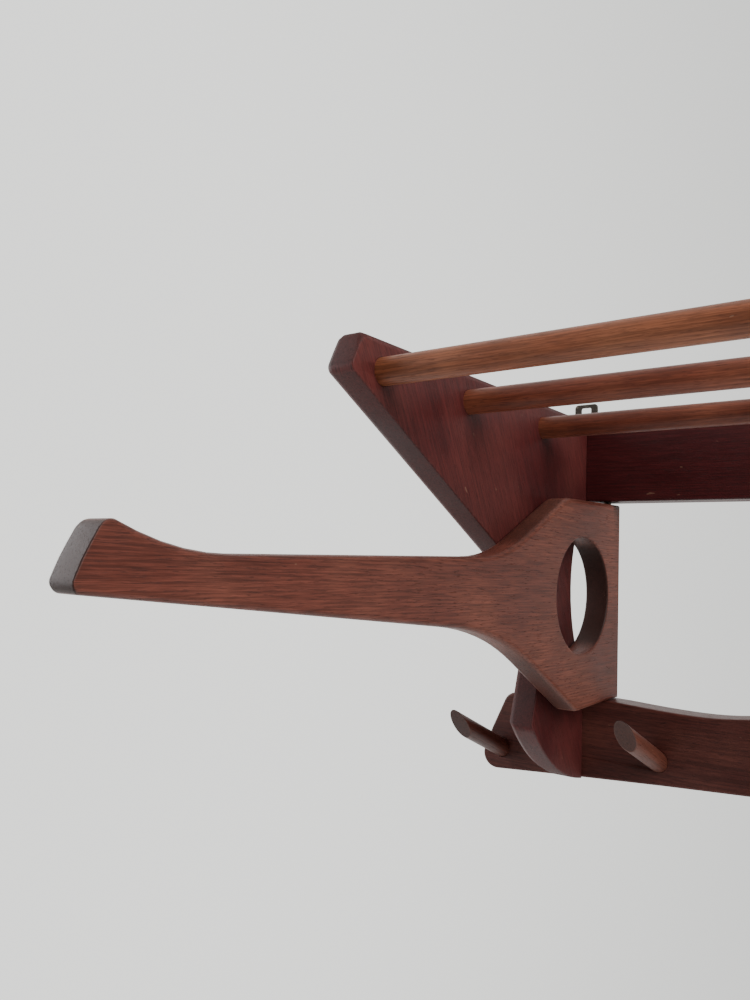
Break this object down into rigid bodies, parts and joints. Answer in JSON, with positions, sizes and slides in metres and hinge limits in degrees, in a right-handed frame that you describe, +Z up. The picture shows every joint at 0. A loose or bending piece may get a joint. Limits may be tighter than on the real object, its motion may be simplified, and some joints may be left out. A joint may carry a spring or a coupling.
{
  "type": "wall-mounted coat and hat rack",
  "caption": "Teak wall rack with a barred hat shelf, arched peg rail with slanted round pegs, and two holed hanger arms that swing out from between the rails.",
  "frame": {"origin": "on the wall plane, at the middle of the upper rail's back face", "axes": "+X along the wall to the right as seen from the room, +Y into the wall, +Z up"},
  "size_m": [1.1784, 0.4902, 0.3112],
  "materials": {
    "teak": "oiled, satin",
    "teak_bar": "oiled, satin",
    "teak_arm": "oiled, satin",
    "dark_steel": "dark bronze plating, worn",
    "pin_steel": "plain drawn steel"
  },
  "bodies": {
    "rack": {"side_panel_left": "teak", "side_panel_right": "teak", "upper_rail": "teak", "lower_rail": "teak", "shelf_bar_front": "teak_bar", "shelf_bar_middle": "teak_bar", "shelf_bar_rear": "teak_bar", "coat_peg_1": "teak_bar", "coat_peg_2": "teak_bar", "coat_peg_3": "teak_bar", "coat_peg_4": "teak_bar", "coat_peg_5": "teak_bar", "coat_peg_6": "teak_bar", "coat_peg_7": "teak_bar", "coat_peg_8": "teak_bar", "coat_peg_9": "teak_bar", "coat_peg_10": "teak_bar", "hanger_plate_left": "dark_steel", "hanger_plate_right": "dark_steel", "rail_screw_left_upper": "dark_steel", "rail_screw_left_lower": "dark_steel", "rail_screw_right_upper": "dark_steel", "rail_screw_right_lower": "dark_steel", "foot_screw_left_upper": "dark_steel", "foot_screw_left_lower": "dark_steel", "foot_screw_right_upper": "dark_steel", "foot_screw_right_lower": "dark_steel", "hanger_screw_left_upper": "dark_steel", "hanger_screw_left_lower": "dark_steel", "hanger_screw_right_upper": "dark_steel", "hanger_screw_right_lower": "dark_steel", "screw_plug_left_upper": "teak", "screw_plug_left_lower": "teak", "screw_plug_right_upper": "teak", "screw_plug_right_lower": "teak", "upper_pivot_pin_left": "pin_steel", "lower_pivot_pin_left": "pin_steel", "upper_pivot_pin_right": "pin_steel", "lower_pivot_pin_right": "pin_steel"},
    "left_arm": {"swing_arm_left": "teak_arm"},
    "right_arm": {"swing_arm_right": "teak_arm"}
  },
  "joints": [
    {"name": "left_arm_hinge", "type": "hinge", "parent": "rack", "child": "left_arm", "pos_m": [-0.4863, -0.0115, -0.1104], "axis": [0, 0, 1], "range_deg": [0, 91.2]},
    {"name": "right_arm_hinge", "type": "hinge", "parent": "rack", "child": "right_arm", "pos_m": [0.4863, -0.0115, -0.1104], "axis": [0, 0, -1], "range_deg": [0, 91.2]}
  ]
}
